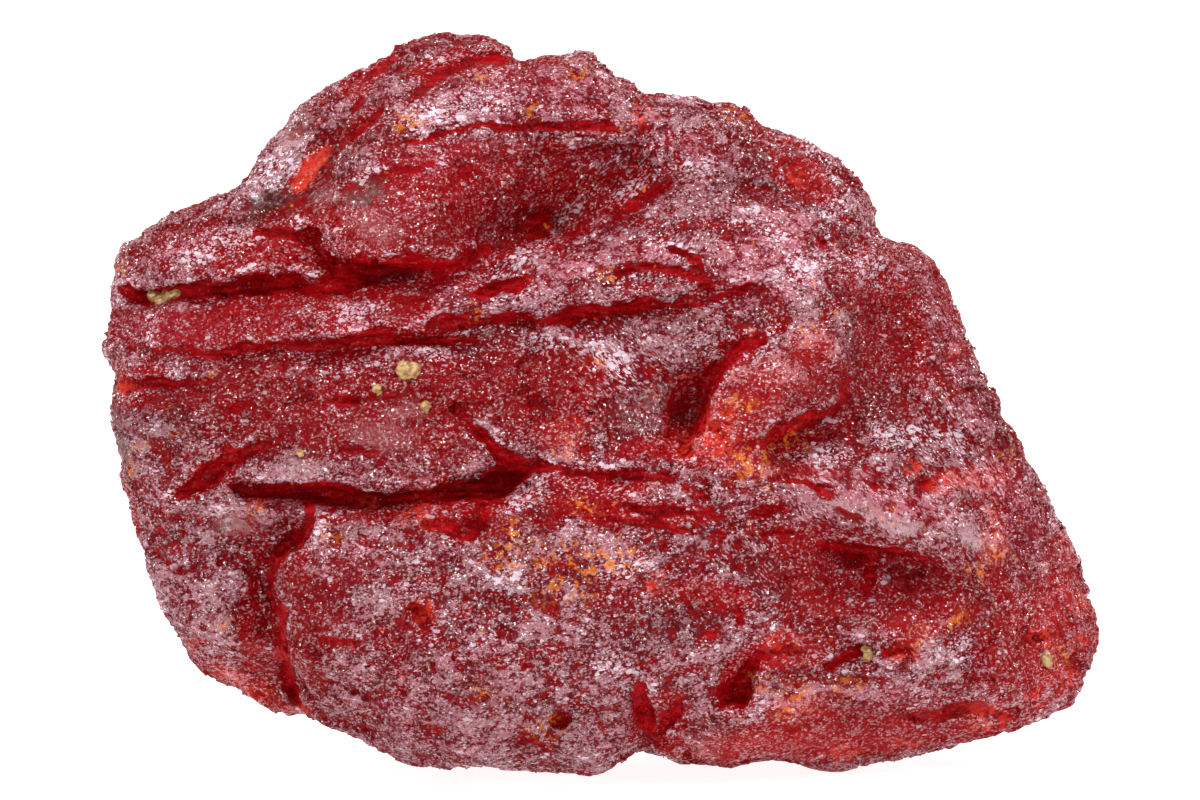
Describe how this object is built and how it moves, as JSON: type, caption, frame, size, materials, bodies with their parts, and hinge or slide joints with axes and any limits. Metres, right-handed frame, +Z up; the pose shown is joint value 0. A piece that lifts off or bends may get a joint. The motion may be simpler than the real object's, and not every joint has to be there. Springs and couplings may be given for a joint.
{
  "type": "realgar specimen",
  "caption": "Hand-sized rough of massive realgar: a layered, granular red stone with long gashes and broken ledges, resting on a small flat on its underside.",
  "frame": {"origin": "on the surface that the stone rests on, under the middle of its bounding box", "axes": "+Z up, +X to the right along the longest side, +Y away from the face that the picture shows"},
  "size_m": [0.05, 0.0256, 0.0368],
  "materials": {
    "realgar": "sugary, resinous, deep red in its gashes with a grey-lilac gloss on its faces and small orange stains"
  },
  "bodies": {
    "root": {"realgar": "realgar"}
  },
  "joints": []
}
